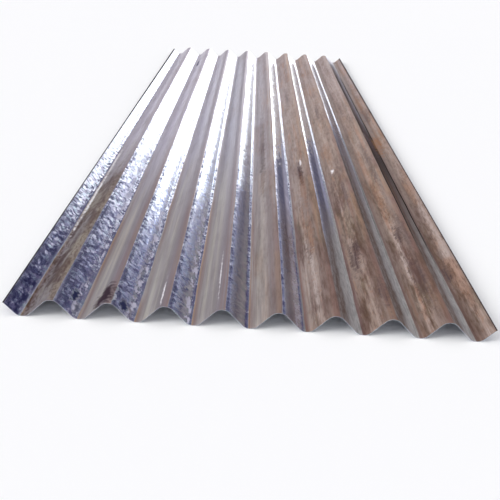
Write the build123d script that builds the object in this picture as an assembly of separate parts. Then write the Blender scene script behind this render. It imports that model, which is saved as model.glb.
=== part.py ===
from build123d import *
from math import asin, atan2, cos, degrees, hypot, sin, tan
import os

# Corrugated sheet, roll formed from one flat sheet of galvanised steel. Sizes in millimetres.
# The waves run along Y and follow each other along X. The sheet lies on its valleys, at Z = 0,
# and the origin is under its middle.

# Driving dimensions
length = 2438.4  # along the waves, 8 ft
crests = 8
pitch = 76.2  # from one crest to the next
depth = 25.4  # from a valley up to a crest, on the same face
bend_radius = 14.5  # of every crest and valley, at half the sheet's thickness
side_lip = 25.4  # how far each side edge stands out past its last valley
thickness = 0.5  # steel and zinc together

# The straight flanks between the bends: each one touches a crest's arc and a valley's arc
half_pitch = pitch / 2
centre_offset = 2 * bend_radius - depth  # a valley's arc centre lies this far above a crest's
flank_angle = asin(2 * bend_radius / hypot(half_pitch, centre_offset)) - atan2(centre_offset, half_pitch)

# The bends round off a zigzag of flanks, whose corners lie beyond the crests and valleys
middle_height = (thickness + depth) / 2
corner_height = half_pitch / 2 * tan(flank_angle)


def corner(number):
    # Corner of the zigzag, counted along X from the first valley; even ones are valleys
    side = -1 if number % 2 == 0 else 1
    return Vector((number - crests) * half_pitch, middle_height + side * corner_height)


def wave_line(shift):
    # One face of the sheet, seen along Y, at a distance above the middle of its thickness
    corners = [corner(number) for number in range(2 * crests + 1)]
    radii = [bend_radius - shift if number % 2 == 0 else bend_radius + shift for number in range(len(corners))]
    lift = Vector(0, shift / cos(flank_angle))
    lip = Vector(side_lip, side_lip * tan(flank_angle))
    square_cut = Vector(-shift * sin(flank_angle), shift * cos(flank_angle))
    last_edge = corners[-1] + lip + square_cut
    first_edge = Vector(-last_edge.X, last_edge.Y)
    return FilletPolyline(first_edge, *[point + lift for point in corners], last_edge, radius=radii)


# Section across the waves: both faces, closed by the two slit edges
with BuildPart() as sheet:
    with BuildSketch(Plane.XZ) as section:
        with BuildLine():
            upper_face = wave_line(thickness / 2)
            lower_face = wave_line(-thickness / 2)
            Line(upper_face @ 0, lower_face @ 0)
            Line(upper_face @ 1, lower_face @ 1)
        make_face()
    extrude(amount=length / 2, both=True)

sheet.part.label = "corrugated_sheet"
box = sheet.part.bounding_box()
print(f"flank angle {degrees(flank_angle):.2f} degrees")
print(f"overall {box.size.X:.2f} x {box.size.Y:.2f} x {box.size.Z:.2f}, lowest point {box.min.Z:.4f}")
print(f"sheet width before forming {section.sketch.area / thickness:.1f}, volume {sheet.part.volume:.0f}")

os.makedirs("parts", exist_ok=True)
export_step(sheet.part, "parts/corrugated_sheet.step")
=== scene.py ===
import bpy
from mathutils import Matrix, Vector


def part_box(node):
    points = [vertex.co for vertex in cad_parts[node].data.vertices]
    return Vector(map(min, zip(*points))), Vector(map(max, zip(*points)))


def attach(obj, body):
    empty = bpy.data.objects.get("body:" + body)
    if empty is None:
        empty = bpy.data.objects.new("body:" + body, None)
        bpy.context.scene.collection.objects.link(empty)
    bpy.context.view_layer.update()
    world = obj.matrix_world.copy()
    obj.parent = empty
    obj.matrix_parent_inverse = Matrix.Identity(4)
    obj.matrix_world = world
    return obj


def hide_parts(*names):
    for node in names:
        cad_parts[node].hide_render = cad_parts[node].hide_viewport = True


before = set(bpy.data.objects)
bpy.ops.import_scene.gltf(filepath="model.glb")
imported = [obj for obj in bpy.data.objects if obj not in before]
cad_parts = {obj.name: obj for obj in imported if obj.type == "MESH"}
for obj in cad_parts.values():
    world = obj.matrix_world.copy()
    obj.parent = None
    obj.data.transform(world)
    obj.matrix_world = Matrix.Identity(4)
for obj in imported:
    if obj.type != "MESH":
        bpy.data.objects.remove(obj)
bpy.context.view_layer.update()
print("frame loaded")

from math import asin, atan2, cos, hypot, pi, radians, sin, tan

import bmesh
import bpy
from mathutils import Euler, Matrix, Vector, noise

scene = bpy.context.scene
scene.view_settings.view_transform = "Standard"

lowCorner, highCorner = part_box("corrugated_sheet")
frontEnd, backEnd = lowCorner[1], highCorner[1]


# Camera. Lens and sensor are in millimetres, places in metres, and angles in degrees:
# down from level, left of the waves, and the tilt of the horizon.
cameraValues = {
    "lens": 61.9,
    "sensor": 36.0,
    "seesFrom": 0.01,
    "seesTo": 60,
    "beforeFrontEnd": 1.037,
    "rightOfMiddle": -0.018,
    "height": 0.5095,
    "down": 20.92,
    "left": -0.64,
    "tilt": 3.53,
}


def makeCamera(values):
    data = bpy.data.cameras.new("camera")
    data.lens, data.sensor_width = values["lens"], values["sensor"]
    data.clip_start, data.clip_end = values["seesFrom"], values["seesTo"]
    camera = bpy.data.objects.new("camera", data)
    scene.collection.objects.link(camera)
    y = frontEnd - values["beforeFrontEnd"]
    camera.location = (values["rightOfMiddle"], y, values["height"])
    aim = Euler((radians(90 - values["down"]), 0, radians(values["left"])), "XYZ").to_matrix()
    camera.rotation_euler = (aim @ Matrix.Rotation(radians(values["tilt"]), 3, "Z")).to_euler()
    scene.camera = camera


makeCamera(cameraValues)
print("camera placed")


class Signal:
    # an output socket that plain arithmetic adds Math nodes to
    def __init__(self, finish, socket):
        self.finish, self.socket = finish, socket

    def joined(self, operation, first, second):
        return self.finish.node("Math", {"operation": operation}, {0: first, 1: second})

    def __add__(self, other):
        return self.joined("ADD", self, other)

    def __radd__(self, other):
        return self.joined("ADD", other, self)

    def __sub__(self, other):
        return self.joined("SUBTRACT", self, other)

    def __rsub__(self, other):
        return self.joined("SUBTRACT", other, self)

    def __mul__(self, other):
        return self.joined("MULTIPLY", self, other)

    def __rmul__(self, other):
        return self.joined("MULTIPLY", other, self)

    def __truediv__(self, other):
        return self.joined("DIVIDE", self, other)


class Finish:
    # the shader nodes of one material or world, and the few kinds of step that they share
    def __init__(self, owner, shader="Principled BSDF"):
        owner.use_nodes = True
        self.tree = owner.node_tree
        self.shader = self.tree.nodes[shader]

    def node(self, kind, settings=None, inputs=None, output=0):
        made = self.tree.nodes.new("ShaderNode" + kind)
        for name, value in (settings or {}).items():
            setattr(made, name, value)
        for name, value in (inputs or {}).items():
            if isinstance(value, Signal):
                self.tree.links.new(value.socket, made.inputs[name])
            else:
                made.inputs[name].default_value = value
        return Signal(self, made.outputs[output])

    def vector(self, operation, inputs, output=0):
        return self.node("VectorMath", {"operation": operation}, inputs, output)

    def parts(self, vector):
        # x, y and z of a place or a direction
        return [self.node("SeparateXYZ", {}, {"Vector": vector}, axis) for axis in "XYZ"]

    def between(self, low, high, value):
        # 0 below low, 1 above high, and smooth from one to the other
        inputs = {"Value": value, "From Min": low, "From Max": high}
        return self.node("MapRange", {"interpolation_type": "SMOOTHSTEP"}, inputs)

    def band(self, value, middle, half, soft):
        # 1 within half of the middle, and 0 further off than soft beyond that
        rise = self.between(middle - half - soft, middle - half, value)
        return rise - self.between(middle + half, middle + half + soft, value)

    def mixed(self, mask, first, second):
        # the Mix node takes two colours at sockets 6 and 7, and gives their mix at output 2
        colours = {6: first if isinstance(first, Signal) else (*first, 1),
                   7: second if isinstance(second, Signal) else (*second, 1)}
        return self.node("Mix", {"data_type": "RGBA"}, {0: mask, **colours}, 2)

    def use(self, **inputs):
        for name, value in inputs.items():
            socket = self.shader.inputs[name.replace("_", " ")]
            if isinstance(value, Signal):
                self.tree.links.new(value.socket, socket)
            else:
                socket.default_value = value


# Where the looks of the sheet change. Two numbers go from none to all, and three are the
# middle of a band, half its size and how softly it ends.
placeValues = {
    "facing": {
        "up": (0.0, 0.2),
        "right": (0.3, 0.5),
    },
    "height": {  # as a share of the sheet's height
        "crests": (0.35, 0.65),
    },
    "x": {
        "right": (-0.06, 0.14),
        "farRight": (0.12, 0.2),
        "middle": (-0.07, -0.04),
        "pastLip": (-0.311, -0.305),
        "pastLeftSide": (-0.272, -0.255),
        "pastFirstWave": (-0.21, -0.19),
        "pastPaleDust": (-0.2, -0.08),
        "lastTwoWaves": (0.16, 0.19),
        "lastWave": (0.24, 0.26),
        "lastSlope": (0.245, 0.26),
        "moreDull": (0.22, 0.27),
        "blackLines": (0.165, 0.18),
        "navy": (-0.248, 0.015, 0.005),
        "blue": (0.095, 0.07, 0.01),
        "flecks": (-0.17, 0.11, 0.02),
        "paleLine": (0.0655, 0.002, 0.005),
    },
    "y": {
        "pastFront": (-0.95, -0.2),
        "pastFrontEnd": (-1.15, -0.8),
        "pastNavyLip": (-1.0, -0.7),
        "pastFrontShade": (-0.85, -0.6),
        "pastPaleLine": (-0.55, -0.2),
        "mottledFurther": (-0.75, -0.55),
        "farGrime": (0.4, 0.85),
        "widerFilm": (-0.2, 0.5),
        "farDust": (0.0, 0.8),
        "blackLines": (-1.1, -0.7),
        "pastBlackLines": (0.7, 1.0),
        "pastFirstBlackLine": (-0.15, 0.05),
        "navy": (-0.75, 0.3, 0.2),
        "blue": (-0.45, 0.15, 0.3),
        "dark": (-0.35, 0.2, 0.4),
        "black": (-0.22, 0.08, 0.35),
    },
}

# Clouds that the stains share: repeats per metre along x, y and z, detail and roughness,
# and how far two of them shift the borders on a slope
cloudValues = {
    "blotches": ((30, 9, 10), 5.0, 0.65),
    "patches": ((11, 3.4, 5), 4.0, 0.6),
    "specks": ((260, 90, 120), 2.0, 0.5),
    "mottles": ((150, 38, 60), 3.0, 0.6),
    "stains": ((46, 4.2, 14), 5.0, 0.65),
    "scuffs": ((330, 34, 90), 3.0, 0.65),
    "fineStreaks": ((520, 9, 60), 4.0, 0.55),
    "broadStreaks": ((150, 2.5, 40), 3.0, 0.55),
    "blotchShift": 0.2,
    "streakShift": 0.25,
}


class SheetFinish(Finish):
    # where each point of the sheet is, the clouds its stains share, and its look so far
    def __init__(self, material, places, clouds):
        super().__init__(material)
        self.places = places
        self.place = self.node("TexCoord", output="Object")
        self.x, self.y, self.z = self.parts(self.place)
        facing = self.parts(self.node("TexCoord", output="Normal"))
        self.across, up = facing[0], facing[2]
        self.topSide = self.between(*places["facing"]["up"], up)
        self.height = self.z / highCorner[2]
        self.crestSide = self.between(*places["height"]["crests"], self.height)
        self.toRight = self.inX("right")
        self.atRight = self.inX("farRight")
        self.lastWave = self.inX("lastWave")
        self.toFront = 1 - self.inY("pastFront")
        self.blotches = self.cloud(*clouds["blotches"])
        self.patches = self.cloud(*clouds["patches"])
        self.specks = self.cloud(*clouds["specks"])
        self.mottles = self.cloud(*clouds["mottles"])
        self.stains = self.cloud(*clouds["stains"])
        self.scuffs = self.cloud(*clouds["scuffs"])
        self.fineStreaks = self.cloud(*clouds["fineStreaks"])
        self.broadStreaks = self.cloud(*clouds["broadStreaks"])
        self.uneven = (self.across - clouds["blotchShift"] * (self.blotches - 0.5)
                       - clouds["streakShift"] * (self.broadStreaks - 0.5))
        self.rightFacing = self.between(*places["facing"]["right"], self.uneven) * self.topSide
        self.mottled = self.between(0.42, 0.6, self.mottles)

    def inPlace(self, value, numbers):
        return self.between(*numbers, value) if len(numbers) == 2 else self.band(value, *numbers)

    def inX(self, name):
        return self.inPlace(self.x, self.places["x"][name])

    def inY(self, name):
        return self.inPlace(self.y, self.places["y"][name])

    def cloud(self, stretch, detail, roughness):
        stretched = {"Vector": self.place, "Scale": stretch}
        place = self.node("Mapping", {"vector_type": "POINT"}, stretched)
        inputs = {"Vector": place, "Scale": 1.0, "Detail": detail, "Roughness": roughness}
        return self.node("TexNoise", {}, inputs)

    def cover(self, mask, colour, metal, roughness):
        # one more layer on top of the look so far
        self.colour = self.mixed(mask, self.colour, colour)
        self.metal = self.metal + mask * (metal - self.metal)
        self.roughness = self.roughness + mask * (roughness - self.roughness)


# Galvanised steel. Lengths are in metres, and what is per metre says so.
zincValues = {
    "grainsPerMetre": 170,
    "grainLean": 0.075,
    "darkGrain": (0.45, 0.43, 0.54),
    "brightGrain": (0.66, 0.68, 0.72),
    "tealGrain": (0.42, 0.52, 0.56),
    "tealShare": 0.7,
    "roughness": 0.15,
    "roughnessSpread": 0.1,
    "specular": 0.2,
    "edgeShadowColour": (0.02, 0.008, 0.012),
    "edgeWidthAtFront": 0.003,
    "edgeWidthAtBack": 0.007,
}


def addGrains(zinc, values):
    # crystals of zinc, each with its own tone and polish; the colour given back sets their lean
    inputs = {"Vector": zinc.place, "Scale": values["grainsPerMetre"]}
    grain = zinc.node("TexVoronoi", {"feature": "F1"}, inputs, "Color")
    tone, polish, tint = [zinc.node("SeparateColor", {}, {"Color": grain}, part)
                          for part in ("Red", "Green", "Blue")]
    colour = zinc.mixed(tone, values["darkGrain"], values["brightGrain"])
    teal = values["tealShare"] * zinc.between(0.6, 0.75, tint)
    zinc.colour = zinc.mixed(teal, colour, values["tealGrain"])
    zinc.roughness = values["roughness"] + values["roughnessSpread"] * polish
    zinc.metal = 1.0
    return grain


# Stains, and painted shade and reflections. They grow towards the right side and the front end. A
# reach is how far the film comes
# round the wave: 0 is the top of a crest or the floor of a valley, and more is further onto the
# slope that faces right. A line across the waves has its y on the middle line, and a slant in
# metres along the waves for each metre to the right.
stainValues = {
    # the film of dust, on the slopes that face left
    "reachInValley": 0.24,
    "reachOnCrest": 0.30,
    "farLeft": (0.64, 0.61, 0.69),
    "farMiddle": (0.43, 0.41, 0.46),
    "nearLeft": (0.47, 0.43, 0.42),
    "right": (0.45, 0.35, 0.30),
    "farRight": (0.46, 0.38, 0.38),

    # what is in the film, and the painted shade on its crests and feet
    "maroon": (0.20, 0.10, 0.085),
    "olive": (0.18, 0.135, 0.07),
    "paleLeft": (0.66, 0.63, 0.55),
    "paleRight": (0.60, 0.50, 0.46),
    "rust": (0.42, 0.21, 0.12),
    "dirt": (0.10, 0.05, 0.03),
    "crestLine": (0.34, 0.16, 0.12),
    "tanLine": (0.48, 0.28, 0.14),
    "valleyLine": (0.20, 0.10, 0.10),
    "leftShade": (0.17, 0.14, 0.18),
    "rightShade": (0.15, 0.095, 0.075),
    "leftEdge": (0.36, 0.31, 0.22),

    # clean zinc, and painted reflections and shade, on the slopes that face right
    "cleanLine": -0.5,  # clean beyond it
    "cleanSlant": 2.2,
    "clean": (0.86, 0.93, 1.0),
    "farGrime": (0.24, 0.23, 0.265),
    "slate": (0.18, 0.185, 0.28),
    "darkSlate": (0.10, 0.105, 0.19),
    "navy": (0.09, 0.10, 0.22),
    "deepBlue": (0.115, 0.12, 0.205),
    "paleBlue": (0.50, 0.53, 0.73),
    "paleReflections": (0.70, 0.68, 0.82),
    "dullLine": -1.9,  # dull before it
    "dullSlant": 8.7,
    "dull": (0.49, 0.48, 0.465),
    "darkDull": (0.34, 0.33, 0.32),
    "brownLine": (0.13, 0.085, 0.065),
    "black": (0.015, 0.008, 0.007),
}


def addCleanAndDarkReflections(zinc, stain):
    # the slopes that face right are clean at the far end; towards the front, in the middle of the
    # far end and at the feet of the clean slopes at the right they darken in mottles of slate and
    # grey, as painted dark reflections
    slopes = zinc.inX("pastFirstWave") * zinc.rightFacing
    clouds = 0.4 * (zinc.patches - 0.5) + 0.7 * (zinc.mottles - 0.5)
    pastLine = zinc.y - stain["cleanSlant"] * zinc.x - stain["cleanLine"] + clouds
    clean = zinc.between(-0.08, 0.1, pastLine)
    clean = clean * (1 - 0.4 * zinc.inX("lastTwoWaves") - 0.6 * zinc.lastWave)
    zinc.cover(slopes * clean, stain["clean"], metal=1.0, roughness=0.15)

    paintedDarkReflection = (1 - clean) * (0.5 + 0.5 * zinc.inY("pastFrontEnd"))
    paintedDarkReflection = paintedDarkReflection * (0.45 + 0.55 * zinc.between(0.2, 0.5, zinc.height))
    aside = 0.05 * zinc.inY("mottledFurther")
    inMiddle = zinc.inPlace(zinc.x - aside, zinc.places["x"]["middle"])
    paintedDarkReflection = paintedDarkReflection * (0.45 * zinc.mottled + inMiddle * (1 - 0.45 * zinc.mottled))
    cleanFoot = clean * zinc.atRight * (1 - zinc.between(0.2, 0.4, zinc.height))
    slate = zinc.mixed(zinc.mottled, stain["slate"], stain["darkSlate"])
    zinc.cover(slopes * (paintedDarkReflection + 0.5 * cleanFoot), slate, metal=1.0, roughness=0.25)
    # painted dark reflection: grey in the middle of the far end of the clean slopes
    farEnd = slopes * (clean * zinc.inY("farGrime") * inMiddle)
    farGrime = farEnd * (0.7 + 0.25 * zinc.mottled)
    zinc.cover(farGrime, stain["farGrime"], metal=1.0, roughness=0.25)
    return slopes, clean


def addBlueReflections(zinc, stain, slopes, clean):
    # painted blue reflections: navy near the left edge, and blue half way along the two slopes
    # right of the middle, with pale blue at their feet
    lip = (1 - zinc.inX("pastLip")) * (1 - zinc.inY("pastNavyLip"))
    firstSlope = zinc.inX("navy") * zinc.inY("navy")
    navy = (lip + 0.75 * firstSlope) * zinc.mottled * zinc.rightFacing
    zinc.cover(navy, stain["navy"], metal=1.0, roughness=0.2)

    blue = zinc.inX("blue") * zinc.inY("blue") * slopes
    middle = blue * (1 - zinc.between(0.72, 0.86, zinc.height)) * (1 - clean)
    deep = middle * (0.6 + 0.3 * zinc.mottled)
    zinc.cover(deep, stain["deepBlue"], metal=0.3, roughness=0.6)
    foot = blue * (1 - zinc.between(0.2, 0.35, zinc.height))
    pale = foot * (0.6 + 0.35 * zinc.mottled)
    zinc.cover(pale, stain["paleBlue"], metal=0.3, roughness=0.4)


def addFrontShadeAndReflections(zinc, stain):
    # at the front, painted shade below the crests, painted pale reflections in flecks and a glint
    # line near the feet, and brown borders at the feet as painted dark reflection
    below = zinc.between(0.42, 0.62, zinc.height) * zinc.rightFacing
    below = below * (1 - zinc.inY("pastFrontShade"))
    below = 0.5 * (below * (1 - zinc.atRight))
    zinc.cover(below, stain["darkSlate"], metal=1.0, roughness=0.25)

    foot = zinc.inX("flecks") * zinc.rightFacing
    foot = foot * (1 - zinc.between(0.2, 0.5, zinc.height))
    flecks = foot * (0.9 * zinc.between(0.5, 0.58, zinc.mottles) + 0.1) * zinc.toFront
    zinc.cover(flecks, stain["paleReflections"], metal=0.3, roughness=0.4)

    line = zinc.inX("paleLine") * (1 - zinc.inY("pastPaleLine")) * zinc.topSide
    line = 0.55 * line * (0.5 + 0.5 * zinc.mottled)
    zinc.cover(line, stain["paleReflections"], metal=0.3, roughness=0.4)

    border = zinc.band(zinc.uneven, 0.12, 0.12, 0.1) * (1 - zinc.crestSide) * zinc.topSide
    border = 0.8 * border * zinc.toRight * zinc.toFront
    zinc.cover(border, stain["brownLine"], metal=0.4, roughness=0.5)


def addDullSlopesAndShade(zinc, stain):
    # at the right, and longer the further right, slopes dull down to a grey that is painted
    # reflection, with painted brown shade below the crests
    beforeLine = stain["dullSlant"] * zinc.x + 0.6 * zinc.inX("moreDull") - zinc.y
    beforeLine = beforeLine + stain["dullLine"]
    slope = zinc.between(-0.1, 0.02, zinc.uneven)
    slope = slope * (zinc.between(-0.15, 0.3, beforeLine) * zinc.topSide)
    scuffed = zinc.between(0.4, 0.6, zinc.scuffs)
    dull = zinc.mixed(scuffed, stain["dull"], stain["darkDull"])
    zinc.cover(0.85 * slope * (0.3 + 0.7 * zinc.toFront), dull, metal=0.2, roughness=0.55)
    brown = zinc.between(0.3, 0.62, zinc.height + 0.5 * (zinc.patches - 0.5)) * slope
    brown = brown * (0.7 + 0.3 * scuffed)
    zinc.cover(brown, stain["brownLine"], metal=0.25, roughness=0.5)

    # painted shade: the last slope darkens to black, in the colours of dirt
    lastSlope = slope * zinc.inX("lastSlope")
    dark = 0.4 * zinc.inY("pastFrontEnd") + 0.4 * zinc.inY("dark")
    zinc.cover(lastSlope * dark, stain["dirt"], metal=0.0, roughness=0.9)
    black = 0.7 * lastSlope * zinc.inY("black")
    zinc.cover(black, stain["black"], metal=0.0, roughness=0.9)


def dustColour(zinc, stain):
    # violet grey at the left and brown at the right, with pale, dark and rusty streaks
    colour = zinc.mixed(zinc.inX("pastPaleDust"), stain["farLeft"], stain["farMiddle"])
    colour = zinc.mixed(zinc.toFront, colour, stain["nearLeft"])
    brown = zinc.between(0.4, 0.64, zinc.stains) * (0.3 + 0.55 * zinc.toFront)
    patchy = zinc.between(0.45, 0.58, zinc.patches)
    brownColour = zinc.mixed(patchy, stain["maroon"], stain["olive"])
    rightColour = zinc.mixed(brown, stain["right"], brownColour)
    rightColour = zinc.mixed(0.6 * zinc.inY("farDust"), rightColour, stain["farRight"])
    colour = zinc.mixed(zinc.toRight, colour, rightColour)

    flank = 1 - zinc.between(-0.66, -0.5, zinc.across)
    pale = flank * zinc.between(0.42, 0.62, zinc.broadStreaks) * zinc.toFront
    paleColour = zinc.mixed(zinc.toRight, stain["paleLeft"], stain["paleRight"])
    colour = zinc.mixed(0.7 * pale, colour, paleColour)
    streaks = zinc.between(0.42, 0.72, zinc.fineStreaks) * (0.25 + 0.1 * zinc.toRight)
    streaks = streaks + zinc.between(0.44, 0.68, zinc.scuffs) * 0.3 * zinc.toRight
    colour = zinc.mixed(streaks, colour, stain["dirt"])
    rusty = zinc.between(0.46, 0.6, zinc.patches) * zinc.between(0.45, 0.62, zinc.broadStreaks)
    rusty = rusty + 0.5 * zinc.between(0.56, 0.7, zinc.specks)
    return zinc.mixed(rusty * (0.1 + 0.45 * zinc.toRight), colour, stain["rust"])


def withBorders(zinc, stain, colour, reach):
    # rusty lines on the crests and in the valleys, and tan ones where the film ends
    patchy = zinc.between(0.45, 0.6, zinc.patches)
    lineColour = zinc.mixed(patchy, stain["crestLine"], stain["tanLine"])
    lineColour = zinc.mixed(zinc.crestSide, stain["valleyLine"], lineColour)
    line = zinc.between(-0.42, -0.08, zinc.uneven) * zinc.between(0.3, 0.55, zinc.broadStreaks)
    share = 0.12 + 0.45 * zinc.toFront + 0.25 * zinc.toRight
    colour = zinc.mixed(line * share, colour, lineColour)
    end = zinc.between(reach - 0.3, reach - 0.12, zinc.uneven)
    end = end * zinc.between(0.38, 0.5, zinc.broadStreaks)
    return zinc.mixed(0.6 * end * zinc.toFront * (1 - zinc.toRight), colour, stain["tanLine"])


def withShadeAndDirt(zinc, stain, colour):
    # painted shade on the crests and on the feet at the right, painted shade with earthy dirt on
    # the left side, and dirty flecks at the right
    shade = zinc.between(0.6, 0.85, zinc.height + 0.5 * (zinc.broadStreaks - 0.5))
    shade = shade * (0.18 + 0.4 * zinc.toFront)
    shade = shade + 0.55 * zinc.atRight * (1 - zinc.between(0.15, 0.4, zinc.height))
    shadeColour = zinc.mixed(zinc.toRight, stain["leftShade"], stain["rightShade"])
    colour = zinc.mixed(shade, colour, shadeColour)

    leftMost = (1 - zinc.inX("pastLeftSide")) * zinc.toFront
    colour = zinc.mixed(0.3 * leftMost, colour, shadeColour)
    earthy = 0.8 * leftMost * zinc.between(0.4, 0.55, zinc.patches)
    colour = zinc.mixed(earthy, colour, stain["leftEdge"])
    dirty = zinc.between(0.48, 0.6, zinc.blotches) * (0.1 + 0.75 * leftMost)
    flecks = zinc.between(0.46, 0.64, 0.65 * zinc.stains + 0.35 * zinc.scuffs)
    dirty = dirty + flecks * zinc.toRight * (0.25 + 0.45 * zinc.toFront)
    dirty = dirty + 0.7 * leftMost * zinc.between(0.48, 0.6, zinc.specks)
    return zinc.mixed(dirty, colour, stain["dirt"])


def addBlackReflectionLines(zinc, stain, reach):
    # painted dark reflections: black lines along both borders of the last two slopes
    line = zinc.band(zinc.uneven - reach, 0.06, 0.09, 0.04) * zinc.topSide
    line = line * zinc.inX("blackLines")
    line = line * (1 - zinc.inY("pastBlackLines")) * zinc.inY("blackLines")
    first = (1 - zinc.lastWave) * (1 - zinc.inY("pastFirstBlackLine"))
    line = line * (0.95 * zinc.lastWave + 0.45 * first)
    zinc.cover(line, stain["black"], metal=0.0, roughness=0.9)


def addFilm(zinc, stain):
    # the film of dust; at the right it reaches further over the crests, and less far in valleys
    onCrest = stain["reachOnCrest"] + 0.12 * zinc.toRight
    onCrest = onCrest + 0.12 * zinc.inY("widerFilm")
    inValley = stain["reachInValley"] - 0.16 * zinc.toRight
    reach = inValley + zinc.crestSide * (onCrest - inValley)
    film = (1 - zinc.between(reach - 0.1, reach, zinc.uneven)) * zinc.topSide
    colour = withBorders(zinc, stain, dustColour(zinc, stain), reach)
    colour = withShadeAndDirt(zinc, stain, colour)
    metal, roughness = 0.55 - 0.25 * zinc.toRight, 0.42 + 0.15 * zinc.toRight
    zinc.cover(film, colour, metal, roughness)
    addBlackReflectionLines(zinc, stain, reach)
    return film


# Single marks. A spot is the x and y of its middle, half its width and half its length, and
# how much it covers. Streaks is how much the fine streaks cut through it, and ragged is how far
# the swirl shifts its outline, in half sizes.
markValues = {
    "swirlsPerMetre": 140.0,
    "swirlDetail": 5.0,
    "fade": (0.35, 1.15),  # in half sizes from the middle
    "kinds": {
        "dirt": {
            "colour": (0.09, 0.05, 0.05),
            "metal": 0.5,
            "roughness": 0.5,
            "streaks": 0.6,
            "ragged": 1.4,
            "spots": [
                (-0.277, -0.106, 0.007, 0.10, 0.5), (-0.276, -0.705, 0.006, 0.03, 0.9),
                (-0.2785, -0.857, 0.007, 0.05, 0.7), (-0.294, -1.04, 0.009, 0.05, 0.8),
                (-0.285, -0.96, 0.008, 0.04, 0.9), (-0.283, -0.62, 0.005, 0.05, 1.0),
                (-0.272, -0.78, 0.004, 0.06, 1.0), (-0.300, -0.90, 0.006, 0.04, 0.9),
                (-0.290, -1.12, 0.006, 0.03, 0.9), (-0.272, -1.15, 0.006, 0.03, 1.0),
                (-0.278, -0.66, 0.010, 0.08, 0.7),
                (0.0945, -0.928, 0.005, 0.06, 0.7), (0.095, 0.33, 0.006, 0.15, 0.7),
                (0.018, -0.22, 0.008, 0.35, 0.8), (0.096, -0.72, 0.008, 0.22, 0.35),
                (0.0972, -0.473, 0.006, 0.09, 1.0), (0.1716, -0.93, 0.006, 0.05, 0.9),
                (0.2521, -0.853, 0.006, 0.05, 0.9), (0.2776, -0.129, 0.009, 0.06, 1.0),
                (0.1734, 0.157, 0.005, 0.12, 0.7), (0.2472, 0.248, 0.005, 0.13, 0.7),
                (0.311, -0.983, 0.006, 0.05, 0.9), (0.256, -0.36, 0.006, 0.2, 0.5),
                (0.180, -0.62, 0.004, 0.12, 0.6), (0.286, 0.25, 0.012, 0.6, 0.5),
                (0.287, -0.14, 0.014, 0.18, 1.0), (0.314, 0.20, 0.010, 0.12, 0.9),
                (0.166, -0.97, 0.007, 0.07, 0.9), (0.188, -1.12, 0.006, 0.07, 0.8),
                (0.254, -1.05, 0.010, 0.10, 0.6), (0.262, -0.86, 0.006, 0.10, 0.6),
            ],
        },
        "mud": {
            "colour": (0.03, 0.014, 0.024),
            "metal": 0.0,
            "roughness": 0.9,
            "streaks": 0.0,
            "ragged": 0.8,
            "spots": [
                (-0.198, -1.185, 0.013, 0.045, 1.0), (-0.204, -1.20, 0.010, 0.03, 1.0),
                (0.0985, -0.51, 0.005, 0.09, 0.6), (0.0185, -0.42, 0.006, 0.28, 0.3),
            ],
        },
        # dark navy spots
        "navySpots": {
            "colour": (0.010, 0.014, 0.07),
            "metal": 0.0,
            "roughness": 0.8,
            "streaks": 0.0,
            "ragged": 1.4,
            "spots": [
                (-0.2447, -1.165, 0.005, 0.022, 1.0), (-0.237, -1.195, 0.005, 0.02, 0.8),
                (-0.1724, -1.198, 0.006, 0.018, 1.0),
                (-0.2166, 0.948, 0.005, 0.07, 1.0),
            ],
        },
        "rust": {
            "colour": (0.33, 0.14, 0.045),
            "metal": 0.3,
            "roughness": 0.6,
            "streaks": 0.6,
            "ragged": 1.4,
            "spots": [
                (0.309, -0.14, 0.012, 0.11, 0.9), (0.1702, -0.30, 0.007, 0.12, 0.45),
                (0.098, -0.60, 0.006, 0.12, 0.4), (0.315, 0.35, 0.008, 0.2, 0.45),
                (0.250, -0.62, 0.005, 0.2, 0.4), (0.098, -0.88, 0.006, 0.1, 0.5),
            ],
        },
        # painted highlights: thin glints along the slopes and white glinting spots
        "glints": {
            "colour": (0.95, 0.92, 0.94),
            "metal": 0.0,
            "roughness": 0.6,
            "streaks": 0.0,
            "ragged": 1.4,
            "spots": [
                (0.1011, -0.415, 0.0022, 0.03, 0.8), (0.1702, -0.449, 0.003, 0.014, 0.9),
                (-0.1215, -1.17, 0.0014, 0.05, 0.7), (-0.0455, -1.10, 0.0012, 0.09, 0.6),
                (-0.3045, -0.70, 0.003, 0.22, 1.0), (-0.3045, -0.42, 0.003, 0.12, 0.8),
            ],
        },
    },
}


def addMarks(zinc, marks):
    # the same swirl breaks up the outline of every mark
    scale, detail = marks["swirlsPerMetre"], marks["swirlDetail"]
    inputs = {"Vector": zinc.place, "Scale": scale, "Detail": detail}
    swirls = zinc.node("TexNoise", {}, inputs, "Color")
    for kind in marks["kinds"].values():
        mask, ragged = 0.0, kind["ragged"]
        spread, centred = (2 * ragged, 2 * ragged, 0), (-ragged, -ragged, 0)
        swirl = zinc.vector("MULTIPLY_ADD", {0: swirls, 1: spread, 2: centred})
        for x, y, halfWidth, halfLength, share in kind["spots"]:
            stretch = (1 / halfWidth, 1 / halfLength, 0)
            shift = (-x / halfWidth, -y / halfLength, 0)
            offset = zinc.vector("MULTIPLY_ADD", {0: zinc.place, 1: stretch, 2: shift})
            far = zinc.vector("LENGTH", {0: zinc.vector("ADD", {0: offset, 1: swirl})}, "Value")
            spot = share * (1 - zinc.between(*marks["fade"], far))
            mask = zinc.node("Math", {"operation": "MAXIMUM"}, {0: mask, 1: spot})
        streaks = kind["streaks"] * zinc.between(0.4, 0.6, zinc.fineStreaks)
        mask = mask * zinc.topSide * (1 - streaks)
        zinc.cover(mask, kind["colour"], kind["metal"], kind["roughness"])


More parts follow.
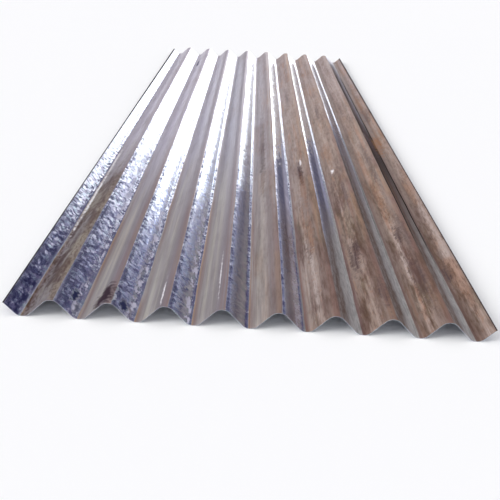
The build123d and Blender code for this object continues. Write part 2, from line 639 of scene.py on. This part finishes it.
def addEdgeShadows(zinc, values):
    # painted shadow: a dark line along the two side edges
    front, back = values["edgeWidthAtFront"], values["edgeWidthAtBack"]
    width = front + zinc.between(-0.8, 1.2, zinc.y) * (back - front)
    side = zinc.node("Math", {"operation": "ABSOLUTE"}, {0: zinc.x})
    edge = zinc.between(0.3, 0.7, (side - highCorner[0]) / width + 1)
    zinc.cover(edge, values["edgeShadowColour"], metal=0.0, roughness=0.9)


def leanGrains(zinc, values, grain, film):
    # each crystal mirrors its own way, and less under the film
    lean = zinc.vector("SUBTRACT", {0: grain, 1: (0.5, 0.5, 0.5)})
    lean = zinc.vector("SCALE", {0: lean, "Scale": values["grainLean"] * (1 - film)})
    leaned = zinc.vector("ADD", {0: zinc.node("NewGeometry", output="Normal"), 1: lean})
    return zinc.vector("NORMALIZE", {0: leaned})


def makeZinc(values, places, clouds, stain, marks):
    material = bpy.data.materials.new("galvanised steel")
    zinc = SheetFinish(material, places, clouds)
    grain = addGrains(zinc, values)
    slopes, clean = addCleanAndDarkReflections(zinc, stain)
    addBlueReflections(zinc, stain, slopes, clean)
    addFrontShadeAndReflections(zinc, stain)
    addDullSlopesAndShade(zinc, stain)
    film = addFilm(zinc, stain)
    addMarks(zinc, marks)
    addEdgeShadows(zinc, values)
    zinc.use(Base_Color=zinc.colour, Metallic=zinc.metal, Roughness=zinc.roughness)
    zinc.use(Specular_IOR_Level=values["specular"], Normal=leanGrains(zinc, values, grain, film))
    print("steel mixed,", len(material.node_tree.nodes), "nodes")
    return material


# The rolled sheet, finer than the CAD mesh and a little uneven, as thin sheet is
sheetValues = {
    "crests": 8,
    "pitch": 0.0762,
    "depth": 0.0254,
    "bendRadius": 0.0145,
    "sideLip": 0.0254,
    "thickness": 0.0005,
    "stepsPerBend": 9,
    "stepsPerFlank": 5,
    "rows": 140,
    "unevenness": 0.0003,
    "unevenPerMetre": (8, 6),  # across the waves and along them
    "sharpFrom": 60,  # degrees between two facets
}


def wavePoints(values, shift):
    # x and z of one face of the sheet, seen along the waves, at a distance above half thickness
    halfPitch, radius = values["pitch"] / 2, values["bendRadius"]
    centreOffset = 2 * radius - values["depth"]
    flank = asin(2 * radius / hypot(halfPitch, centreOffset)) - atan2(centreOffset, halfPitch)
    middle = values["thickness"] / 2
    flankSteps = values["stepsPerFlank"]
    points = []
    for number in range(2 * values["crests"] + 1):
        side = 1 if number % 2 else -1  # 1 on a crest, -1 in a valley
        x = (number - values["crests"]) * halfPitch
        z = middle + (values["depth"] - radius if side > 0 else radius)
        reach = radius + side * shift
        for step in range(values["stepsPerBend"] + 1):
            turn = flank * (2 * step / values["stepsPerBend"] - 1)
            bend = (x + reach * sin(turn), z + side * reach * cos(turn))
            if step == 0 and points:
                last = points[-1]
                for part in range(1, flankSteps):
                    share = part / flankSteps
                    points.append(tuple(a + (b - a) * share for a, b in zip(last, bend)))
            points.append(bend)
    last = points[-1]
    lipLeft = values["sideLip"] - radius * sin(flank)
    lip = []
    for part in range(1, flankSteps):
        along = lipLeft * part / (flankSteps - 1)
        lip.append((last[0] + along, last[1] + along * tan(flank)))
    mirrored = [(-x, z) for x, z in reversed(lip)]
    return mirrored + points + lip


def makeSheet(values, material):
    above = wavePoints(values, values["thickness"] / 2)
    below = wavePoints(values, -values["thickness"] / 2)
    perX, perY = values["unevenPerMetre"]
    mesh = bmesh.new()
    grid = []
    for row in range(values["rows"] + 1):
        y = frontEnd + (backEnd - frontEnd) * row / values["rows"]
        line = []
        for face in (above, below):
            verts = []
            for x, z in face:
                lift = values["unevenness"] * noise.noise(Vector((x * perX, y * perY, 0)))
                height = min(max(z + lift, lowCorner[2]), highCorner[2])
                verts.append(mesh.verts.new((x, y, height)))
            line.append(verts)
        grid.append(line)
    columns = len(above)
    for (nearTop, nearUnder), (farTop, farUnder) in zip(grid, grid[1:]):
        for left in range(columns - 1):
            right = left + 1
            mesh.faces.new((nearTop[left], nearTop[right], farTop[right], farTop[left]))
            mesh.faces.new((nearUnder[right], nearUnder[left], farUnder[left], farUnder[right]))
        for column, order in ((0, 1), (columns - 1, -1)):
            edge = [nearTop[column], farTop[column], farUnder[column], nearUnder[column]]
            mesh.faces.new(edge[::order])
    for (top, under), order in ((grid[0], 1), (grid[-1], -1)):
        for left in range(columns - 1):
            right = left + 1
            mesh.faces.new([top[right], top[left], under[left], under[right]][::order])
    mesh.normal_update()
    for face in mesh.faces:
        face.smooth = True
    for edge in mesh.edges:
        if edge.is_manifold and edge.calc_face_angle() > radians(values["sharpFrom"]):
            edge.smooth = False
    data = bpy.data.meshes.new("galvanised_sheet")
    mesh.to_mesh(data)
    mesh.free()
    data.materials.append(material)
    sheet = bpy.data.objects.new("galvanised_sheet", data)
    scene.collection.objects.link(sheet)
    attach(sheet, "root")
    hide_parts("corrugated_sheet")
    print("sheet made,", len(data.polygons), "faces")


steel = makeZinc(zincValues, placeValues, cloudValues, stainValues, markValues)
makeSheet(sheetValues, steel)


# Studio: a pale floor whose outer rings rise, as radius and height, a pale air that is dark
# behind the sheet and low down, and soft lamps whose glow is 1 where they look just white
studioValues = {
    "floorColour": (0.97, 0.97, 0.965),
    "floorRings": ((2.5, 0.0), (8.0, 0.0), (12.0, 0.1), (20.0, 0.6), (35.0, 2.3), (60.0, 6.0)),
    "floorSides": 64,
    "paleAir": (0.66, 0.66, 0.68),
    "darkAir": (0.10, 0.09, 0.19),
    "darkBehind": (-0.35, 0.35),
    "darkUpTo": (0.42, 0.6),
    "suns": {
        "key": {"glow": 1.7, "spread": 30, "from": (-0.8, -0.45, 0.5)},
        "fill": {"glow": 0.5, "spread": 120, "from": (0.1, -0.35, 0.93)},
    },
    "lamps": {
        "low right": {"place": (0.7, 4.0, 0.3), "size": (1.16, 0.66),
                      "glow": 2.8, "colour": (1, 1, 1)},
        "high right": {"place": (0.92, 4.0, 0.8), "size": (0.56, 0.34),
                       "glow": 2.6, "colour": (0.88, 0.94, 1)},
        "far right": {"place": (1.72, 4.0, 0.64), "size": (0.88, 0.52),
                      "glow": 1.0, "colour": (0.68, 0.74, 1)},
        "middle": {"place": (0.15, 4.0, 0.8), "size": (0.7, 0.9),
                   "glow": 4.0, "colour": (0.95, 0.97, 1)},
        "top": {"place": (-1.0, 4.0, 2.5), "size": (1.2, 0.9),
                "glow": 0.9, "colour": (0.95, 1, 0.85)},
        "left": {"place": (-1.6, 4.0, 0.8), "size": (2.4, 1.6),
                 "glow": 0.25, "colour": (1, 0.88, 0.75)},
    },
}


def makeFloor(values):
    mesh = bmesh.new()
    sides = values["floorSides"]
    turns = [2 * pi * side / sides for side in range(sides)]
    rings = [[mesh.verts.new((radius * cos(turn), radius * sin(turn), height)) for turn in turns]
             for radius, height in values["floorRings"]]
    mesh.faces.new(rings[0])
    for inner, outer in zip(rings, rings[1:]):
        for side in range(sides):
            after = (side + 1) % sides
            corners = (inner[side], outer[side], outer[after], inner[after])
            mesh.faces.new(corners).smooth = True
    data = bpy.data.meshes.new("studio_floor")
    mesh.to_mesh(data)
    mesh.free()
    material = bpy.data.materials.new("floor paint")
    paint = Finish(material)
    paint.use(Base_Color=(*values["floorColour"], 1), Roughness=1.0, Specular_IOR_Level=0.0)
    data.materials.append(material)
    floor = bpy.data.objects.new("studio_floor", data)
    scene.collection.objects.link(floor)


def makeAir(values):
    world = bpy.data.worlds.new("studio air")
    scene.world = world
    air = Finish(world, "Background")
    behind, up = air.parts(air.node("TexCoord", output="Generated"))[1:]
    dark = air.between(*values["darkBehind"], behind) * (1 - air.between(*values["darkUpTo"], up))
    air.use(Color=air.mixed(dark, values["paleAir"], values["darkAir"]))


def makeLamps(values):
    for name, sun in values["suns"].items():
        light = bpy.data.lights.new(name, "SUN")
        light.energy, light.angle = sun["glow"], radians(sun["spread"])
        lightObject = bpy.data.objects.new(name, light)
        lightObject.rotation_euler = Vector(sun["from"]).to_track_quat("Z", "Y").to_euler()
        scene.collection.objects.link(lightObject)

    for name, lamp in values["lamps"].items():
        light = bpy.data.lights.new(name, "AREA")
        light.shape, light.color = "RECTANGLE", lamp["colour"]
        light.size, light.size_y = lamp["size"]
        light.energy = lamp["glow"] * pi * light.size * light.size_y
        lightObject = bpy.data.objects.new(name, light)
        lightObject.location = lamp["place"]
        lightObject.rotation_euler = (radians(90), 0, radians(180))  # facing the sheet's back end
        lightObject.visible_diffuse = False
        scene.collection.objects.link(lightObject)


makeFloor(studioValues)
makeAir(studioValues)
makeLamps(studioValues)
print("studio made")
